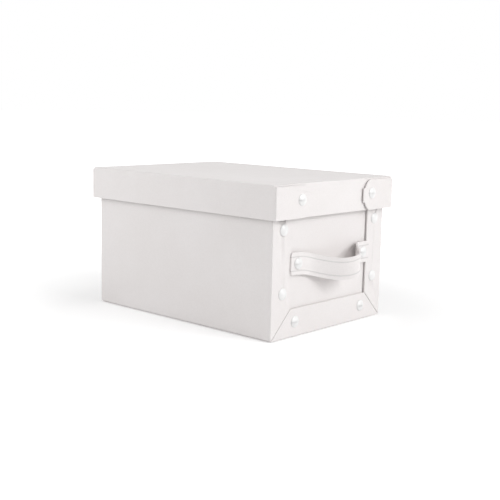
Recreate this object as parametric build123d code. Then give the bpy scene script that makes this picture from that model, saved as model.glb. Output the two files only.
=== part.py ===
"""Flat-pack archival box: board panels, folded flaps held by press studs, a slip lid and a strap handle.

Millimetres. The box stands on z = 0 over the origin, its handle faces -Y, and its long sides run along Y.
"""
from build123d import *
import math
import os

# Overall sizes
lid_w = 250.0          # X, over the lid's long skirts
lid_l = 350.0          # Y, over the lid's corner tabs
total_h = 198.0        # floor to lid top
skirt_h = 44.0         # lid depth

# Boards and folds
board = 2.0
lid_over_x = 7.0       # the lid stands off the body this far on each long side
lid_over_y = 10.0      # and this far at each end
flap_w = 37.0          # the flaps that fold over an end panel; the bottom flap is as high
mitre_gap = 0.8        # between a side flap and the bottom flap, across the 45 degree cut
fold_gap = 0.05        # between a crease and the flap that turns on it

# Lid corner tabs
tab_l = 67.0
tab_top_gap = 3.0      # tab top below the lid's top
nib_h = 19.0           # the straight part in the middle of the tab's curved end
nib_out = 1.6

# Press studs
cap_d = 15.0
cap_h = 3.2
cap_rim = 0.7
post_r = 1.5
post_gap = 0.1         # around a post in its hole
stud_r = 2.2
stud_gap = 0.25        # around a stud in its socket
flange_r = 5.0         # socket and stud plates
flange_t = 0.4
snap_gap = 1.4         # a flap stands this far off the board behind it
socket_t = 0.9
rivet_r = 4.0
rivet_t = 1.0

# Stud places
side_stud_in = 21.0    # side flap studs, from the body's long side
side_stud_low = 59.0   # height of the lower ones
side_stud_under_lid = 14.0   # the upper ones, below the lid's skirt
bottom_stud_in = 47.0  # bottom flap studs, from the body's long side
bottom_stud_z = 20.0
lid_stud_in = 50.0     # lid studs, from the lid's long side
lid_stud_down = 21.0   # and from its top

# Strap handle
strap_w = 29.0
strap_t = 2.4
strap_z = 95.5         # height of its studs
strap_stud_clear = 11.0      # its studs, from the flaps' inner edges
strap_tail = 13.5      # the strap runs past its studs
strap_bulge = 30.0     # how far the middle stands off
strap_sag = 12.0       # how far the middle hangs
bulge_x = 18.0         # where it stands off most
lift_after = 20.0      # the strap leaves the end this far from its left stud
lift_before = 9.0      # and comes back to it this far from its right one
strap_steps = 24       # straight runs in its lifted part

# Worked out from the sizes above
body_w = lid_w - 2 * lid_over_x
body_l = lid_l - 2 * lid_over_y
body_h = total_h - board
flap_in = body_l / 2 - board              # inner face of the body's end flaps
panel_out = flap_in - snap_gap            # outer face of an end panel
panel_in = panel_out - board
skirt_z = total_h - skirt_h
tab_in = lid_l / 2 - board                # inner face of a lid tab
end_skirt_out = tab_in - snap_gap
end_skirt_in = end_skirt_out - board
crease_r = board / 2
fold_start = board / 2 + crease_r + fold_gap
tab_h = skirt_h - tab_top_gap
side_stud_x = body_w / 2 - side_stud_in
side_stud_high = skirt_z - side_stud_under_lid
bottom_stud_x = body_w / 2 - bottom_stud_in
lid_stud_x = lid_w / 2 - lid_stud_in
lid_stud_z = total_h - lid_stud_down
strap_stud_x = body_w / 2 - flap_w - strap_stud_clear
strap_l = 2 * (strap_stud_x + strap_tail)
lift_from = -strap_stud_x + lift_after
lift_to = strap_stud_x - lift_before

ENDS = {"front": -1, "back": 1}
SIDES = {"left": -1, "right": 1}


def box(x0, x1, y0, y1, z0, z1):
    """A box between two corners, in any order."""
    size = (abs(x1 - x0), abs(y1 - y0), abs(z1 - z0))
    return Pos((x0 + x1) / 2, (y0 + y1) / 2, (z0 + z1) / 2) * Box(*size)


def rod(r, a, b):
    """A round bar of radius r between two points."""
    a, b = Vector(*a), Vector(*b)
    return Plane(origin=(a + b) / 2, z_dir=b - a) * Cylinder(r, (b - a).length)


def facing(end, x, y, z):
    """The frame of a stud at an end of the box: +Z points out of the box."""
    return Plane(origin=(x, y, z), x_dir=(1, 0, 0), z_dir=(0, end, 0))


def bore(shape, end, x, z, r, y, deep):
    """Cuts a post's hole straight through a board whose outer face is at y."""
    return shape - facing(end, x, y, z) * Pos(0, 0, -deep / 2) * Cylinder(r, deep + 2)


def cap(layer):
    """A domed cap on a layer's outer face at z = 0, with its post through the layer."""
    r, rise = cap_d / 2, cap_h - cap_rim
    dome_r = (r * r + rise * rise) / (2 * rise)
    half = math.asin(r / dome_r) / 2
    mid = (dome_r * math.sin(half), cap_h - dome_r * (1 - math.cos(half)))
    outline = [
        Line((0, 0), (r, 0)),
        Line((r, 0), (r, cap_rim)),
        ThreePointArc((r, cap_rim), mid, (0, cap_h)),
        Line((0, cap_h), (0, 0)),
    ]
    face = Plane.XZ * make_face(Curve() + outline)
    dome = revolve(face, Axis.Z)
    post_l = layer + flange_t
    return dome + Pos(0, 0, -post_l / 2) * Cylinder(post_r, post_l)


def socket(layer):
    """The ring behind the layer that a stud presses into."""
    top = -layer
    ring = Pos(0, 0, top - socket_t / 2) * Cylinder(flange_r, socket_t)
    ring -= Pos(0, 0, top - flange_t / 2) * Cylinder(post_r + post_gap, flange_t + 1)
    deep = socket_t - flange_t
    return ring - Pos(0, 0, top - flange_t - deep / 2 - 0.5) * Cylinder(stud_r + stud_gap, deep + 1)


def stud(gap):
    """The stud on a board's outer face at z = 0, reaching a socket across a gap."""
    plate_t = gap - snap_gap + flange_t
    tall = gap - flange_t - post_gap
    plate = Pos(0, 0, plate_t / 2) * Cylinder(flange_r, plate_t)
    return plate + Pos(0, 0, tall / 2) * Cylinder(stud_r, tall)


def rivet():
    """The rivet that holds a stud, its head on the inner face of the board whose outer face is at z = 0."""
    head = Pos(0, 0, -board - rivet_t / 2) * Cylinder(rivet_r, rivet_t)
    return head + Pos(0, 0, -board / 2) * Cylinder(post_r, board)


def strap_line(x):
    """The strap's middle line at a place along the panel: its stand-off and its sag."""
    if x <= lift_from or x >= lift_to:
        return 0.0, 0.0
    if x < bulge_x:
        t = (x - lift_from) / (bulge_x - lift_from)
    else:
        t = (lift_to - x) / (lift_to - bulge_x)
    sag = math.sin(math.pi * (x - lift_from) / (lift_to - lift_from)) ** 2
    return strap_bulge * t * t * (3 - 2 * t), strap_sag * sag


def strap():
    """The strap: a flat band through upright sections, with a hole at each stud."""
    under = body_l / 2 + strap_t / 2
    lifted = [lift_from + (lift_to - lift_from) * i / strap_steps for i in range(strap_steps + 1)]
    near = 0.01
    sections = []
    for x in [-strap_l / 2, *lifted, strap_l / 2]:
        out, sag = strap_line(x)
        slope = (strap_line(x + near)[0] - strap_line(x - near)[0]) / (2 * near)
        place = Plane(
            origin=(x, -(under + out), strap_z - sag), x_dir=(0, 0, 1), z_dir=(1, -slope, 0)
        )
        sections.append(place * Rectangle(strap_w, strap_t))
    band = loft(sections, ruled=True)
    corners = [e for e in band.edges() if abs(e.center().X) > strap_l / 2 - 0.1]
    upright = [e for e in corners if abs(e.tangent_at(0.5).Y) > 0.9]
    band = fillet(upright, 3.0)
    for x in (-strap_stud_x, strap_stud_x):
        band = bore(band, -1, x, strap_z, post_r + post_gap, -(under + strap_t / 2), strap_t)
    return band


def side_flap(side, end):
    """A side panel's fold over an end panel, cut at 45 degrees above the bottom flap."""
    x0, x1 = body_w / 2, body_w / 2 - flap_w
    z0 = board + fold_gap
    cut = mitre_gap * math.sqrt(2) / 2
    outline = [(x0, z0), (x0 + cut - z0, z0), (x1, flap_w + cut), (x1, body_h), (x0, body_h)]
    face = Plane.XZ * make_face(Polyline([(side * x, z) for x, z in outline], close=True))
    sheet = extrude(face, board / 2, both=True)
    flap = Pos(0, end * (body_l - board) / 2, 0) * sheet
    for z in (side_stud_low, side_stud_high):
        flap = bore(flap, end, side * side_stud_x, z, post_r + post_gap, end * body_l / 2, board)
    return flap


def bottom_flap(end):
    """The base's fold over an end panel, with both ends cut at 45 degrees."""
    cut = mitre_gap * math.sqrt(2) / 2
    z0 = fold_start
    half_low, half_high = body_w / 2 - z0 - cut, body_w / 2 - flap_w - cut
    outline = [(-half_low, z0), (half_low, z0), (half_high, flap_w), (-half_high, flap_w)]
    face = Plane.XZ * make_face(Polyline(outline, close=True))
    flap = Pos(0, end * (body_l - board) / 2, 0) * extrude(face, board / 2, both=True)
    for side in SIDES.values():
        x = side * bottom_stud_x
        flap = bore(flap, end, x, bottom_stud_z, post_r + post_gap, end * body_l / 2, board)
    return flap


def lid_tab(side, end):
    """A lid corner tab: a long skirt's fold over the end skirt, with a curved end and a straight nib."""
    start = lid_w / 2 - fold_start
    tip = lid_w / 2 - tab_l
    middle = skirt_z + tab_h / 2
    corner = tip + tab_h * 0.28
    low, high = (corner, skirt_z), (corner, skirt_z + tab_h)
    outline = Curve() + [
        Line((start, skirt_z), low),
        ThreePointArc(low, (tip, middle), high),
        Line(high, (start, skirt_z + tab_h)),
        Line((start, skirt_z + tab_h), (start, skirt_z)),
    ]
    face = make_face(outline)
    face += Pos((corner + tip - nib_out) / 2, middle) * Rectangle(corner - tip + nib_out, nib_h)
    if side < 0:
        face = mirror(face, Plane.YZ)
    tab = extrude(Plane.XZ * face, board / 2, both=True)
    tab = Pos(0, end * (lid_l - board) / 2, 0) * tab
    return bore(tab, end, side * lid_stud_x, lid_stud_z, post_r + post_gap, end * lid_l / 2, board)


# Stud places, in the box's frame
PLACES = {
    "side": [(s * side_stud_x, z) for s in (-1, 1) for z in (side_stud_low, side_stud_high)],
    "bottom": [(s * bottom_stud_x, bottom_stud_z) for s in (-1, 1)],
    "handle": [(s * strap_stud_x, strap_z) for s in (-1, 1)],
    "lid": [(s * lid_stud_x, lid_stud_z) for s in (-1, 1)],
}

nodes = {}

# The body: base, long sides, end panels and the flaps folded over them
base_edge = (body_l - board) / 2
base = box(-body_w / 2, body_w / 2, -base_edge, base_edge, 0, board)
for end in ENDS.values():
    y = end * base_edge
    base += rod(crease_r, (-body_w / 2, y, crease_r), (body_w / 2, y, crease_r))
nodes["base_panel"] = base
for name, side in SIDES.items():
    x0, x1 = side * body_w / 2, side * (body_w / 2 - board)
    nodes[f"{name}_side_panel"] = box(x0, x1, -flap_in, flap_in, board, body_h)
for e_name, end in ENDS.items():
    half = body_w / 2 - board
    panel = box(-half, half, end * panel_out, end * panel_in, board, body_h)
    studs = PLACES["side"] + PLACES["bottom"] + (PLACES["handle"] if end < 0 else [])
    for x, z in studs:
        panel = bore(panel, end, x, z, post_r + post_gap, end * panel_out, board)
    nodes[f"{e_name}_end_panel"] = panel
    nodes[f"{e_name}_bottom_flap"] = bottom_flap(end)
    for name, side in SIDES.items():
        nodes[f"{e_name}_{name}_flap"] = side_flap(side, end)

# The lid: top, skirts and the tabs that turn on the long skirts' ends
half_x = lid_w / 2 - board
nodes["lid_top_panel"] = box(-lid_w / 2, lid_w / 2, -end_skirt_out, end_skirt_out, body_h, total_h)
tab_y = (lid_l - board) / 2
for name, side in SIDES.items():
    x0, x1 = side * half_x, side * lid_w / 2
    skirt = box(x0, x1, -end_skirt_out, end_skirt_out, skirt_z, body_h)
    skirt += box(x0, x1, -tab_y, tab_y, skirt_z, skirt_z + tab_h)
    x = side * (lid_w - board) / 2
    for end in ENDS.values():
        skirt += rod(crease_r, (x, end * tab_y, skirt_z), (x, end * tab_y, skirt_z + tab_h))
    nodes[f"lid_{name}_skirt"] = skirt
for e_name, end in ENDS.items():
    skirt = box(-half_x, half_x, end * end_skirt_in, end * end_skirt_out, skirt_z, body_h)
    for x, z in PLACES["lid"]:
        skirt = bore(skirt, end, x, z, post_r + post_gap, end * end_skirt_out, board)
    nodes[f"lid_{e_name}_skirt"] = skirt
    for name, side in SIDES.items():
        nodes[f"lid_{e_name}_{name}_tab"] = lid_tab(side, end)

# The strap and the press studs
nodes["handle_strap"] = strap()


def snaps(shape, kind, ends, y):
    """One shape at each stud place of a kind, on the faces at y of the given ends."""
    return [facing(e, x, e * y, z) * shape for e in ends for x, z in PLACES[kind]]


both = ENDS.values()
body_out = body_l / 2
nodes["side_flap_caps"] = snaps(cap(board), "side", both, body_out)
nodes["side_flap_sockets"] = snaps(socket(board), "side", both, body_out)
for e_name, end in ENDS.items():
    nodes[f"{e_name}_bottom_flap_caps"] = snaps(cap(board), "bottom", [end], body_out)
    nodes[f"{e_name}_bottom_flap_sockets"] = snaps(socket(board), "bottom", [end], body_out)
panel_kinds = ("side", "bottom")
nodes["panel_studs"] = [s for k in panel_kinds for s in snaps(stud(snap_gap), k, both, panel_out)]
nodes["panel_rivets"] = [s for k in panel_kinds for s in snaps(rivet(), k, both, panel_out)]
nodes["handle_caps"] = snaps(cap(strap_t), "handle", [-1], body_out + strap_t)
nodes["handle_sockets"] = snaps(socket(strap_t), "handle", [-1], body_out + strap_t)
nodes["handle_studs"] = snaps(stud(board + snap_gap), "handle", [-1], panel_out)
nodes["handle_rivets"] = snaps(rivet(), "handle", [-1], panel_out)
nodes["lid_studs"] = snaps(stud(snap_gap), "lid", both, end_skirt_out)
nodes["lid_rivets"] = snaps(rivet(), "lid", both, end_skirt_out)
for e_name, end in ENDS.items():
    for name, side in SIDES.items():
        place = facing(end, side * lid_stud_x, end * lid_l / 2, lid_stud_z)
        nodes[f"lid_{e_name}_{name}_cap"] = place * cap(board)
        nodes[f"lid_{e_name}_{name}_socket"] = place * socket(board)

os.makedirs("parts", exist_ok=True)
for name, shape in nodes.items():
    if isinstance(shape, list):
        shape = Compound(children=shape)
    export_step(shape, f"parts/{name}.step")
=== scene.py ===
"""Looks for a white flat-pack archival box: grained board, glossy press studs, a stitched strap."""
import math

import bmesh
import bpy
from mathutils import Matrix, Vector


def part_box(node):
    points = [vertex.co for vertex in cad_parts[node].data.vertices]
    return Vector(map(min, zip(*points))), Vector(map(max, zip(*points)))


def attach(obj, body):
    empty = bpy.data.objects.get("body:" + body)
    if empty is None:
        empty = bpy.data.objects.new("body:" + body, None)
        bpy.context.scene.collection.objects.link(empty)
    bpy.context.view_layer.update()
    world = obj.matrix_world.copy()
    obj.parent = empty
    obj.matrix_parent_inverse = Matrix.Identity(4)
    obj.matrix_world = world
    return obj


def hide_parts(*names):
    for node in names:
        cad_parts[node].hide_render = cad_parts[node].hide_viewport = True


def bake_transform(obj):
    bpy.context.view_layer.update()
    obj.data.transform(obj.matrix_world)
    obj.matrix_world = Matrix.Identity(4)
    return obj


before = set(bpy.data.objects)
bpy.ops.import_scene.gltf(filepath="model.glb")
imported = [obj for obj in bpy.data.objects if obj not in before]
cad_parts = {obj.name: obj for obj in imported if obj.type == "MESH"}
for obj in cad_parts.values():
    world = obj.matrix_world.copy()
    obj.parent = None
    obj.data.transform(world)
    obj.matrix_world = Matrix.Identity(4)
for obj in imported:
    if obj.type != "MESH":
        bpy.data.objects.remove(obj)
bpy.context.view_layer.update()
MM = 0.001

# Sizes read from the frame
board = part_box("base_panel")[1].z
flap_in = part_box("left_side_panel")[1].y
body_half_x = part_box("base_panel")[1].x
body_half_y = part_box("base_panel")[1].y
tab_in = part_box("lid_front_left_tab")[1].y

ENDS = {"front": -1, "back": 1}
SIDES = {"left": -1, "right": 1}
FOLD_R = 1.8 * MM            # outside of a fold that isn't a joint
CUT_R = 0.3 * MM             # wrapped paper over a cut edge
BASE_IN = 1.5 * MM           # the base stands this far inside the long sides' lower folds
FOLD_STEPS = 6
SIDE_FOLD_R = 0.7 * MM       # outside of a long side's lower edge
LOW_EDGES = 100 * MM         # a wall's edges below this height run on into other boards
HAIR = 0.1 * MM


# ---------------------------------------------------------------- modelling

def near(value, target, slack=0.2 * MM):
    return abs(value - target) < slack


def only(piece):
    """Selects one piece and nothing else."""
    if bpy.context.object and bpy.context.object.mode != "OBJECT":
        bpy.ops.object.mode_set(mode="OBJECT")
    bpy.ops.object.select_all(action="DESELECT")
    piece.select_set(True)
    bpy.context.view_layer.objects.active = piece


def faces_where(test):
    """Picks the faces whose middle and normal pass a test."""
    return "FACE", lambda mesh: [p.index for p in mesh.polygons if test(p.center, p.normal)]


def sharp_edges_where(test, angle=math.radians(40)):
    """Picks the sharp edges whose middle and direction pass a test."""
    def find(mesh):
        shape = bmesh.new()
        shape.from_mesh(mesh)
        found = []
        for e in shape.edges:
            a, b = e.verts[0].co, e.verts[1].co
            if e.calc_face_angle(0.0) > angle and test((a + b) / 2, (b - a).normalized()):
                found.append(e.index)
        shape.free()
        return found
    return "EDGE", find


def edit(piece, pick, *actions):
    """Picks a piece's faces or edges, then runs edit-mode actions on them."""
    kind, find = pick
    only(piece)
    bpy.ops.object.mode_set(mode="EDIT")
    bpy.ops.mesh.select_mode(type=kind)
    bpy.ops.mesh.select_all(action="DESELECT")
    bpy.ops.object.mode_set(mode="OBJECT")
    found = find(piece.data)
    items = piece.data.polygons if kind == "FACE" else piece.data.edges
    for i in found:
        items[i].select = True
    bpy.ops.object.mode_set(mode="EDIT")
    if found:
        for action in actions:
            action()
    bpy.ops.object.mode_set(mode="OBJECT")
    return piece


def all_of(piece, *actions):
    """Runs edit-mode actions on a whole mesh."""
    only(piece)
    bpy.ops.object.mode_set(mode="EDIT")
    bpy.ops.mesh.select_all(action="SELECT")
    for action in actions:
        action()
    bpy.ops.object.mode_set(mode="OBJECT")
    return piece


def settle(piece):
    """Puts a piece's place into its mesh."""
    only(piece)
    bpy.ops.object.transform_apply(location=True, rotation=True, scale=True)
    return piece


def copy_of(piece, name, move=(0, 0, 0)):
    """A copy with its own mesh, moved."""
    made = piece.copy()
    made.data = piece.data.copy()
    made.name = made.data.name = name
    bpy.context.scene.collection.objects.link(made)
    made.data.transform(Matrix.Translation(move))
    return made


def joined(pieces, name):
    """Several pieces as one."""
    only(pieces[0])
    for p in pieces:
        p.select_set(True)
    if len(pieces) > 1:
        bpy.ops.object.join()
    pieces[0].name = pieces[0].data.name = name
    return pieces[0]


def smooth(piece, degrees=50):
    """Shades a piece smooth across its rounded edges, with its large faces kept flat."""
    only(piece)
    bpy.ops.object.shade_smooth_by_angle(angle=math.radians(degrees))
    weighted = piece.modifiers.new("weighted", "WEIGHTED_NORMAL")
    weighted.weight, weighted.keep_sharp = 100, True
    bpy.ops.object.modifier_apply(modifier=weighted.name)
    return piece


def bevel(width, segments):
    """An action that rounds the picked edges."""
    return lambda: bpy.ops.mesh.bevel(offset=width, segments=segments, affect="EDGES", clamp_overlap=True)


def recalculate():
    """An action that turns the picked faces outwards."""
    bpy.ops.mesh.normals_make_consistent(inside=False)


def board_from(node, name):
    """A board at its CAD size, its triangles merged back into flat faces."""
    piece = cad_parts[node].copy()
    piece.data = piece.data.copy()
    piece.name = piece.data.name = name
    for key in [k for k in piece.keys() if k.startswith("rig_")]:
        del piece[key]
    bpy.context.scene.collection.objects.link(piece)
    piece.parent = None
    piece.matrix_world = Matrix.Identity(4)
    piece.data.materials.clear()
    return all_of(
        piece,
        lambda: bpy.ops.mesh.remove_doubles(threshold=1e-6),
        lambda: bpy.ops.mesh.dissolve_limited(angle_limit=math.radians(1.0)),
    )


def soften(piece, keep=lambda m: False, width=CUT_R):
    """Rounds a board's cut edges, except those where it runs on into the next piece."""
    edit(piece, sharp_edges_where(lambda m, d: not keep(m)), bevel(width, 2))
    return smooth(piece)


def cut_off(piece, point, normal):
    """Cuts a piece with a plane, keeping the side the normal points away from."""
    return all_of(piece, lambda: bpy.ops.mesh.bisect(
        plane_co=point, plane_no=normal, use_fill=True, clear_outer=True))


def fold_on(piece, pick, centre, axis, angle):
    """Carries a board's end face round a crease. With no window, the rotation turns the other way."""
    turn = (
        lambda: bpy.ops.mesh.extrude_region_move(),
        lambda: bpy.ops.transform.rotate(value=-angle / FOLD_STEPS, orient_axis=axis, center_override=centre),
    )
    return edit(
        piece, pick, *turn * FOLD_STEPS,
        lambda: bpy.ops.mesh.select_all(action="SELECT"),
        lambda: bpy.ops.mesh.remove_doubles(threshold=1e-6),
        recalculate,
    )


# ---------------------------------------------------------------- materials

class Wire:
    """A socket of a node tree, with the arithmetic that shader maths needs."""

    def __init__(self, paint, socket):
        self.paint, self.socket = paint, socket

    def _maths(self, operation, a, b=0.0):
        return self.paint.node("ShaderNodeMath", {"operation": operation}, {0: a, 1: b})

    def __add__(self, other):
        return self._maths("ADD", self, other)

    def __sub__(self, other):
        return self._maths("SUBTRACT", self, other)

    def __rsub__(self, other):
        return self._maths("SUBTRACT", other, self)

    def __mul__(self, other):
        return self._maths("MULTIPLY", self, other)

    __radd__, __rmul__ = __add__, __mul__

    def at_most(self, other):
        return self._maths("MINIMUM", self, other)


class Paint:
    """A node tree and the one method that makes its nodes."""

    def __init__(self, tree):
        self.tree = tree
        tree.nodes.clear()

    def node(self, kind, settings=None, inputs=None, out=0):
        made = self.tree.nodes.new(kind)
        settings = dict(settings or {})
        stops = settings.pop("stops", None)
        for key, value in settings.items():
            setattr(made, key, value)
        if stops:
            ramp = made.color_ramp.elements
            while len(ramp) < len(stops):
                ramp.new(0.5)
            for element, (place, shade) in zip(ramp, stops):
                element.position, element.color = place, (shade, shade, shade, 1)
        for key, value in (inputs or {}).items():
            if isinstance(value, Wire):
                self.tree.links.new(value.socket, made.inputs[key])
            else:
                made.inputs[key].default_value = value
        return Wire(self, made.outputs[out]) if made.outputs else None

    def place(self):
        return self.node("ShaderNodeTexCoord", out="Object")

    def noise(self, scale, detail=2.0, rough=0.5):
        return self.node("ShaderNodeTexNoise", {}, {
            "Vector": self.place(), "Scale": scale, "Detail": detail, "Roughness": rough})

    def cells(self, scale, where):
        return self.node("ShaderNodeTexVoronoi", {}, {"Vector": where, "Scale": scale})

    def ramp(self, value, *stops):
        return self.node("ShaderNodeValToRGB", {"stops": stops}, {"Fac": value})

    def mix(self, share, a, b):
        return self.node("ShaderNodeMix", {"data_type": "RGBA"}, {0: share, 6: a, 7: b}, out=2)

    def bump(self, height, distance, strength=1.0):
        return self.node("ShaderNodeBump", {}, {
            "Height": height, "Distance": distance, "Strength": strength})


def finish_with(colour, roughness, normal, paint, **constants):
    """Ends a material's nodes in a surface shader."""
    inputs = {"Base Color": colour, "Roughness": roughness, "Normal": normal}
    inputs.update({k.replace("_", " "): v for k, v in constants.items()})
    shader = paint.node("ShaderNodeBsdfPrincipled", {}, inputs)
    paint.node("ShaderNodeOutputMaterial", {}, {"Surface": shader})


def new_paint(name):
    made = bpy.data.materials.new(name)
    made.use_nodes = True
    return made, Paint(made.node_tree)


def grey(v, warm=0.0):
    """A near-neutral colour, warmer by a share."""
    return (v * (1 + warm), v, v * (1 - warm), 1)


def grained_paper(name, light, dark, cell_mm, depth_mm, sewn=False):
    """White paper or hide with a fine leather grain: pebbles, pores, faint soiling and painted shade in the
    crevices between the pebbles.

    A sewn one has painted shade along its seams, where the stitching pulls the leather in."""
    made, p = new_paint(name)
    warp = p.noise(260, 2.0)
    where = p.node("ShaderNodeVectorMath", {"operation": "ADD"}, {
        0: p.place(),
        1: p.node("ShaderNodeVectorMath", {"operation": "SCALE"}, {
            0: p.node("ShaderNodeTexNoise", {}, {"Vector": p.place(), "Scale": 420.0}, out="Color"),
            "Scale": 0.7 * MM})})
    pebble = p.cells(1 / (cell_mm * MM), where)
    pores = p.noise(2.6 / (cell_mm * MM), 3.0, 0.6)
    waves = p.noise(14, 1.0)
    height = (1 - pebble) * 0.7 + pores * 0.3
    cloud = p.noise(9, 3.0, 0.55)
    share = p.ramp(cloud * 0.75 + warp * 0.25, (0.36, 0.0), (0.66, 1.0))
    tone = p.mix(share, dark, light)
    # Painted shade: the crevices between the pebbles are darkened a little.
    crevice_shade = p.ramp(pebble, (0.35, 0.0), (0.95, 1.0))
    tone = p.mix(crevice_shade * 0.10, tone, grey(dark[1] * 0.72, 0.01))
    if sewn:
        # Painted shade along the stitching, where the leather is pulled in.
        seam = p.node("ShaderNodeAttribute", {"attribute_name": "seam"}, out="Fac")
        tone = p.mix(seam * 0.55, tone, grey(dark[1] * 0.6, 0.02))
    normal = p.bump(waves, 0.25 * MM, 0.35)
    grain = p.node("ShaderNodeBump", {}, {
        "Height": height, "Distance": depth_mm * MM, "Strength": 0.8, "Normal": normal})
    finish_with(tone, 0.46 + cloud * 0.1 + pores * 0.06, grain, p)
    return made


def board_core():
    """The raw edge of the board: grey pulp in fine layers."""
    made, p = new_paint("board_core")
    fibre = p.noise(1400, 4.0, 0.7)
    layers = p.noise(300, 2.0, 0.5)
    share = p.ramp(fibre * 0.6 + layers * 0.4, (0.3, 0.0), (0.7, 1.0))
    tone = p.mix(share, grey(0.56, 0.02), grey(0.70, 0.01))
    finish_with(tone, 0.85 + fibre * 0.1, p.bump(fibre, 0.08 * MM), p)
    return made


def moulded_plastic():
    """Glossy white moulding with a trace of flow and handling."""
    made, p = new_paint("white_moulding")
    flow = p.noise(160, 2.0)
    rub = p.noise(900, 3.0, 0.6)
    tone = p.mix(flow, grey(0.84, 0.004), grey(0.90, 0.002))
    finish_with(tone, 0.24 + rub * 0.12, p.bump(flow, 0.02 * MM, 0.4), p, Coat_Weight=0.25)
    return made


def thread_paint():
    """Twisted white sewing thread."""
    made, p = new_paint("sewing_thread")
    twist = p.noise(3200, 2.0)
    tone = p.mix(twist, grey(0.62, 0.01), grey(0.84, 0.005))
    finish_with(tone, 0.6 + twist * 0.2, p.bump(twist, 0.06 * MM), p)
    return made


paper = grained_paper("white_grained_paper", (0.860, 0.828, 0.822, 1), (0.825, 0.790, 0.780, 1), 1.1, 0.05)
strap_leather = grained_paper(
    "strap_leather", (0.875, 0.845, 0.838, 1), (0.825, 0.790, 0.782, 1), 1.3, 0.09, sewn=True)
core = board_core()
plastic = moulded_plastic()
thread = thread_paint()


def dress(piece, body, paint, slot, *nodes):
    """Gives a piece its material and body, and hides the CAD nodes it stands for. Its slot is not used."""
    if not piece.data.materials:
        piece.data.materials.append(paint)
    if body:
        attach(piece, body)
    if nodes:
        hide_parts(*nodes)
    return piece


# ---------------------------------------------------------------- the body

def bare_edge(piece, z):
    """Shows the board's core on the cut edge at height z."""
    piece.data.materials.append(paper)
    piece.data.materials.append(core)
    for face in piece.data.polygons:
        if abs(face.normal.z) > 0.9 and near(face.center.z, z):
            face.material_index = 1
    return piece


rim_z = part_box("left_side_panel")[1].z
skirt_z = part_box("lid_left_skirt")[0].z

base = board_from("base_panel", "base_board")
for end in ENDS.values():
    cut_off(base, (0, end * flap_in, 0), (0, end, 0))
for side in SIDES.values():
    cut_off(base, (side * (body_half_x - BASE_IN), 0, 0), (side, 0, 0))
edit(base, sharp_edges_where(lambda m, d: near(m.z, 0) and abs(d.y) > 0.9), bevel(FOLD_R, FOLD_STEPS))
dress(smooth(base), "box", paper, "board", "base_panel")

for name in SIDES:
    wall = board_from(f"{name}_side_panel", f"{name}_side_board")
    lower = lambda m, d: near(m.z, board) and abs(d.y) > 0.9
    edit(wall, sharp_edges_where(lower), bevel(SIDE_FOLD_R, 4))
    soften(wall, lambda m: m.z < LOW_EDGES or near(abs(m.y), flap_in))
    bare_edge(wall, rim_z)
    dress(wall, "box", paper, "board", f"{name}_side_panel")

for e_name, end in ENDS.items():
    panel = board_from(f"{e_name}_end_panel", f"{e_name}_end_board")
    soften(panel, lambda m: m.z < LOW_EDGES)
    bare_edge(panel, rim_z)
    dress(panel, "box", paper, "board", f"{e_name}_end_panel")
    for s_name, side in SIDES.items():
        node = f"{e_name}_{s_name}_flap"
        flap = board_from(node, f"{node}_board")
        outer = lambda m, d: near(m.x, side * body_half_x) and near(m.y, end * body_half_y)
        edit(flap, sharp_edges_where(outer), bevel(FOLD_R, FOLD_STEPS))
        soften(flap, lambda m: abs(m.x) > body_half_x - FOLD_R - CUT_R)
        bare_edge(flap, rim_z)
        dress(flap, "box", paper, "board", node)

    node = f"{e_name}_bottom_flap"
    flap = board_from(node, f"{node}_board")
    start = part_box(node)[0].z
    fold_on(
        flap, faces_where(lambda c, n: n.z < -0.9 and near(c.z, start)),
        (0, end * flap_in, start), "X", -end * math.pi / 2)
    soften(flap, lambda m: m.z < start + CUT_R)
    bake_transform(flap)
    dress(flap, None, paper, "board", node)


# ---------------------------------------------------------------- the lid

lid_under, lid_over = (corner.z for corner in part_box("lid_top_panel"))
top = board_from("lid_top_panel", "lid_top_board")
edit(top, sharp_edges_where(lambda m, d: m.z > lid_over - HAIR), bevel(FOLD_R, FOLD_STEPS))
dress(smooth(top), "lid", paper, "board", "lid_top_panel")

for name in SIDES:
    node = f"lid_{name}_skirt"
    skirt = board_from(node, f"{node}_board")
    for end in ENDS.values():
        cut_off(skirt, (0, end * abs(tab_in), 0), (0, end, 0))
    soften(skirt, lambda m: m.z > lid_under - HAIR or abs(m.y) > abs(tab_in) - HAIR)
    bare_edge(skirt, skirt_z)
    dress(skirt, "lid", paper, "board", node)

for e_name, end in ENDS.items():
    node = f"lid_{e_name}_skirt"
    skirt = board_from(node, f"{node}_board")
    soften(skirt, lambda m: m.z > lid_under - HAIR)
    bare_edge(skirt, skirt_z)
    dress(skirt, "lid", paper, "board", node)
    for s_name, side in SIDES.items():
        node = f"lid_{e_name}_{s_name}_tab"
        tab = board_from(node, f"{node}_board")
        lo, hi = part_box(node)
        start = hi.x if side > 0 else lo.x
        centre = (start, end * abs(tab_in), 0)
        fold_on(
            tab, faces_where(lambda c, n: n.x * side > 0.9 and near(c.x, start)),
            centre, "Z", -side * end * math.pi / 2)
        soften(tab, lambda m: abs(m.x) > abs(start) + CUT_R)
        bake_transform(tab)
        dress(tab, None, paper, "board", node)


# ---------------------------------------------------------------- press studs

cap_lo, cap_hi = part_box("lid_front_left_cap")
cap_r = (cap_hi.x - cap_lo.x) / 2
CAP_H = 3.2 * MM
CAP_RIM = 0.7 * MM
RIVET_R = 4 * MM
RIVET_H = 1 * MM
RIVET_RIM = 0.4 * MM


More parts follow.
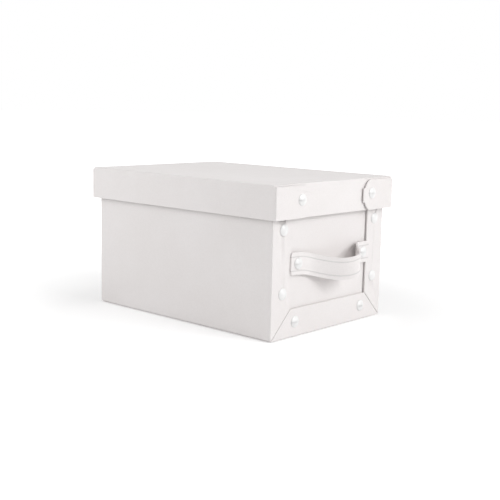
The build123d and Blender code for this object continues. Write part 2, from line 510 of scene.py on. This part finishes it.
def dome(r, height, rim, rings=9):
    """A domed button standing on z = 0: a disc whose top is inset and raised in rings."""
    bpy.ops.mesh.primitive_cylinder_add(vertices=56, radius=r, depth=rim, location=(0, 0, rim / 2))
    piece = settle(bpy.context.object)
    rise = height - rim
    big_r = (r * r + rise * rise) / (2 * rise)
    half = math.asin(min(1.0, r / big_r))
    steps = []
    before = (r, 0.0)
    for i in range(1, rings + 1):
        angle = half * (1 - i / (rings + 0.6))
        now = (big_r * math.sin(angle), rise - big_r * (1 - math.cos(angle)))
        inset, lift = before[0] - now[0], now[1] - before[1]
        steps.append(lambda inset=inset: bpy.ops.mesh.inset(thickness=inset, depth=0.0))
        steps.append(lambda lift=lift: bpy.ops.transform.translate(value=(0, 0, lift)))
        before = now
    edit(piece, faces_where(lambda c, n: n.z > 0.9), *steps)
    edit(piece, sharp_edges_where(lambda m, d: m.z < rim * 1.2), bevel(rim * 0.3, 2))
    return smooth(piece, 50)


def facing(piece, end):
    """Turns a button to stand on an end of the box."""
    piece.data.transform(Matrix.Rotation(-end * math.pi / 2, 4, "X"))
    return piece


cap_shape = dome(cap_r, CAP_H, CAP_RIM)
head_shape = dome(RIVET_R, RIVET_H, RIVET_RIM, 5)
buttons = {}
for end in ENDS.values():
    buttons["cap", end] = facing(copy_of(cap_shape, "cap"), end)
    buttons["head", end] = facing(copy_of(head_shape, "head"), -end)


def stud_places(node):
    """Where a node's caps stand, as (end, x, z): at each side and each height of each end."""
    lo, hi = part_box(node)
    xs = sorted({round(lo.x + cap_r, 6), round(hi.x - cap_r, 6)})
    zs = sorted({round(lo.z + cap_r, 6), round(hi.z - cap_r, 6)})
    ends = [e for e in (-1, 1) if (lo.y if e < 0 else hi.y) * e > 0]
    return [(e, x, z) for e in ends for x in xs for z in zs]


def studs(name, kind, places, y, body, *nodes):
    """A set of buttons as one piece, on the faces at y of their ends."""
    copies = [copy_of(buttons[kind, e], name, (x, e * y, z)) for e, x, z in places]
    slot = "stud_plastic" if kind == "cap" else "stud_hardware"
    return dress(joined(copies, name), body, plastic, slot, *nodes)


side_places = stud_places("side_flap_caps")
studs("side_flap_buttons", "cap", side_places, body_half_y, "box", "side_flap_caps")
handle_places = stud_places("handle_caps")
strap_face = -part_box("handle_caps")[0].y - CAP_H
studs("handle_buttons", "cap", handle_places, strap_face, "box", "handle_caps")
inner = -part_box("front_end_panel")[1].y
bottom_places = []
for e_name in ENDS:
    node = f"{e_name}_bottom_flap_caps"
    places = stud_places(node)
    bottom_places += places
    studs(f"{e_name}_bottom_flap_buttons", "cap", places, body_half_y, f"{e_name}_bottom_flap", node)
studs("panel_rivet_heads", "head", side_places + bottom_places, inner, "box", "panel_rivets")
studs("handle_rivet_heads", "head", handle_places, inner, "box", "handle_rivets")
lid_places = []
for e_name, end in ENDS.items():
    for s_name in SIDES:
        node = f"lid_{e_name}_{s_name}"
        places = stud_places(f"{node}_cap")
        lid_places += places
        studs(f"{node}_button", "cap", places, abs(tab_in) + board, f"{node}_tab", f"{node}_cap")
lid_inner = -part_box("lid_front_skirt")[1].y
studs("lid_rivet_heads", "head", lid_places, lid_inner, "lid", "lid_rivets")
for piece in (cap_shape, head_shape, *buttons.values()):
    bpy.data.objects.remove(piece)


# ---------------------------------------------------------------- the strap

strap_lo, strap_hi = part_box("handle_strap")
STRAP_L = strap_hi.x - strap_lo.x
STRAP_W = 29 * MM
STRAP_T = 2.4 * MM
CORNER = 4 * MM
LIFT_FROM, LIFT_TO, PEAK = -50 * MM, 61 * MM, 18 * MM
BULGE = 30 * MM
SAG = 12 * MM
SAG_FROM = -75 * MM          # the strap hangs from just outside its left stud
SEAM_IN = 5.6 * MM           # stitching, in from the long edges
STITCH = 2.6 * MM
STITCH_STEP = 3.7 * MM
STITCH_DEEP, STITCH_TALL = 0.30 * MM, 0.34 * MM
strap_z = handle_places[0][2]
strap_mid = strap_face - STRAP_T / 2


def strap_line(x):
    """The strap's middle line over a place on the panel: its stand-off and its sag."""
    u = min(max((x - SAG_FROM) / (LIFT_TO - SAG_FROM), 0.0), 1.0)
    sag = SAG * math.sin(math.pi * u ** 1.09) ** 2
    if x <= LIFT_FROM or x >= LIFT_TO:
        return 0.0, sag
    t = (x - LIFT_FROM) / (PEAK - LIFT_FROM) if x < PEAK else (LIFT_TO - x) / (LIFT_TO - PEAK)
    return BULGE * t * t * (3 - 2 * t), sag


def on_strap(x, up, out):
    """A point on the strap: along it, up from its middle line, and out from its middle layer."""
    step = 0.2 * MM
    lift, sag = strap_line(x)
    ahead, behind = strap_line(x + step)[0], strap_line(x - step)[0]
    slope = (ahead - behind) / (2 * step)
    size = math.hypot(1, slope)
    return Vector((x - slope / size * out, -(strap_mid + lift) - out / size, strap_z - sag + up))


def strap_piece():
    """Two layers of grained leather, pulled in along the stitching and crowned between."""
    bpy.ops.mesh.primitive_grid_add(x_subdivisions=170, y_subdivisions=58, size=1)
    piece = bpy.context.object
    piece.name = piece.data.name = "handle_strap_leather"
    piece.scale = (STRAP_L, STRAP_W, 1)
    settle(piece)
    half = STRAP_L / 2
    for v in piece.data.vertices:
        short = max(0.0, abs(v.co.x) - (half - CORNER))
        v.co.y *= (STRAP_W / 2 - CORNER + math.sqrt(max(0.0, CORNER ** 2 - short ** 2))) / (STRAP_W / 2)
    for kind, settings in (
        ("SOLIDIFY", {"thickness": STRAP_T - 0.4 * MM, "offset": 0.0}),
        ("BEVEL", {
            "width": 0.7 * MM, "segments": 3, "limit_method": "ANGLE", "angle_limit": math.radians(60)}),
    ):
        only(piece)
        made = piece.modifiers.new(kind.lower(), kind)
        for key, value in settings.items():
            setattr(made, key, value)
        bpy.ops.object.modifier_apply(modifier=made.name)
    seam = STRAP_W / 2 - SEAM_IN
    # The seam attribute carries the painted shade along the stitching into the leather's colour.
    seam_shade = piece.data.attributes.new("seam", "FLOAT", "POINT")
    for v in piece.data.vertices:
        x, up, out = v.co
        edge = abs(abs(up) - seam)
        pulled = math.exp(-(edge / (0.7 * MM)) ** 2)
        seam_shade.data[v.index].value = pulled
        crown = 0.2 * MM * max(0.0, 1 - (up / seam) ** 2)
        relief = crown - 0.35 * MM * pulled
        v.co = on_strap(x, up, out + math.copysign(relief, out) if abs(out) > 0.5 * MM else out)
    all_of(piece, recalculate)
    return smooth(piece, 50)


dress(strap_piece(), "box", strap_leather, "strap", "handle_strap")


def stitching():
    """Rows of stitches along both edges, on both faces."""
    bpy.ops.mesh.primitive_uv_sphere_add(segments=8, ring_count=6, radius=1)
    stitch = bpy.context.object
    stitch.scale = (STITCH / 2, STITCH_DEEP, STITCH_TALL)
    settle(stitch)
    taper = lambda: bpy.ops.transform.resize(value=(0.92, 1, 1))
    edit(stitch, faces_where(lambda c, n: abs(n.x) > 0.8), taper)
    smooth(stitch, 80)
    places, x, gone = [], -STRAP_L / 2 + 4 * MM, 0.0
    fine = 0.1 * MM
    while x < STRAP_L / 2 - 4 * MM:
        here, there = on_strap(x, 0, 0), on_strap(x + fine, 0, 0)
        gone += (there - here).length
        x += fine
        if gone >= STITCH_STEP:
            gone -= STITCH_STEP
            places.append(x)
    copies = []
    for x in places:
        for row in (-1, 1):
            for face in (-1, 1):
                up = row * (STRAP_W / 2 - SEAM_IN)
                out = face * (STRAP_T / 2 - STITCH_DEEP)
                at = on_strap(x, up, out)
                along = (on_strap(x + fine, up, out) - on_strap(x - fine, up, out)).normalized()
                across = Vector((0, 0, 1)).cross(along).normalized()
                turn = Matrix((along, across, along.cross(across))).transposed().to_4x4()
                copy = copy_of(stitch, "stitch")
                copy.data.transform(Matrix.Translation(at) @ turn)
                copies.append(copy)
    bpy.data.objects.remove(stitch)
    return joined(copies, "handle_strap_stitches")


dress(stitching(), "box", thread, "strap")


# ---------------------------------------------------------------- the rest of the CAD nodes

for node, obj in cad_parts.items():
    if not obj.hide_render:
        obj.data.materials.clear()
        obj.data.materials.append(plastic)
        smooth(obj, 40)


# ---------------------------------------------------------------- floor, light and camera

FLOOR_SIZE, FLOOR_DROP = 30, 0.0002
FLOOR_GLOW, FAR_GLOW = 0.26, 0.76


def looked_at(p):
    """1 on rays that see the background straight on, in a gloss or through glass, and 0 on the rest."""
    seen = p.node("ShaderNodeLightPath", out="Is Camera Ray")
    gloss = p.node("ShaderNodeLightPath", out="Is Glossy Ray")
    through = p.node("ShaderNodeLightPath", out="Is Transmission Ray")
    return (seen + gloss + through).at_most(1.0)


bpy.ops.mesh.primitive_plane_add(size=FLOOR_SIZE, location=(0, 0, -FLOOR_DROP))
floor = bpy.context.object
floor.name = "floor"
floor_paint, p = new_paint("floor_white")
away = p.node("ShaderNodeVectorMath", {"operation": "LENGTH"}, {0: p.place()}, out="Value")
far = p.ramp(away, (0.25, 0.0), (1.0, 1.0))
lit = looked_at(p) * (far * FAR_GLOW + FLOOR_GLOW)
glow = p.node("ShaderNodeEmission", {}, {"Color": (1, 1, 1, 1), "Strength": lit})
matt = p.node("ShaderNodeBsdfDiffuse", {}, {"Color": grey(0.86)})
both = p.node("ShaderNodeAddShader", {}, {0: glow, 1: matt})
p.node("ShaderNodeOutputMaterial", {}, {"Surface": both})
floor.data.materials.append(floor_paint)

world = bpy.data.worlds.new("studio")
bpy.context.scene.world = world
world.use_nodes = True
p = Paint(world.node_tree)
WORLD = 0.42
strength = looked_at(p) * (1 - WORLD) + WORLD
sky = p.node("ShaderNodeBackground", {}, {"Color": (1, 1, 1, 1), "Strength": strength})
p.node("ShaderNodeOutputWorld", {}, {"Surface": sky})


def softbox(name, azimuth, elevation, distance, size, power):
    """A square soft light aimed at the box."""
    light = bpy.data.lights.new(name, "AREA")
    light.shape, light.size, light.energy = "SQUARE", size, power
    holder = bpy.data.objects.new(name, light)
    bpy.context.scene.collection.objects.link(holder)
    a, e = math.radians(azimuth), math.radians(elevation)
    back = Vector((math.sin(a) * math.cos(e), -math.cos(a) * math.cos(e), math.sin(e)))
    holder.location = Vector((0, 0, 0.1)) + back * distance
    holder.rotation_euler = (-back).to_track_quat("-Z", "Y").to_euler()
    return holder


softbox("key", azimuth=14, elevation=24, distance=2.6, size=1.5, power=34)
softbox("fill", azimuth=-122, elevation=26, distance=1.5, size=1.0, power=8)
softbox("overhead", azimuth=30, elevation=80, distance=2.6, size=1.6, power=9)

CAM_LENS, CAM_SENSOR = 67.08, 36
CAM_AZIMUTH, CAM_ELEVATION, CAM_ROLL = math.radians(-48.06), math.radians(9.07), math.radians(1.25)
CAM_DISTANCE = 1.358
CAM_TARGET = Vector((0.0246, 0, 0.0822))
camera = bpy.data.objects.new("camera", bpy.data.cameras.new("camera"))
bpy.context.scene.collection.objects.link(camera)
camera.data.lens, camera.data.sensor_width = CAM_LENS, CAM_SENSOR
back = Vector((
    math.sin(CAM_AZIMUTH) * math.cos(CAM_ELEVATION),
    -math.cos(CAM_AZIMUTH) * math.cos(CAM_ELEVATION),
    math.sin(CAM_ELEVATION)))
right = (-back).cross(Vector((0, 0, 1))).normalized()
up = right.cross(-back)
across = right * math.cos(CAM_ROLL) + up * math.sin(CAM_ROLL)
upright = up * math.cos(CAM_ROLL) - right * math.sin(CAM_ROLL)
turn = Matrix((across, upright, back)).transposed().to_4x4()
camera.matrix_world = Matrix.Translation(CAM_TARGET + back * CAM_DISTANCE) @ turn
bpy.context.scene.camera = camera
bpy.context.scene.view_settings.view_transform = "Standard"
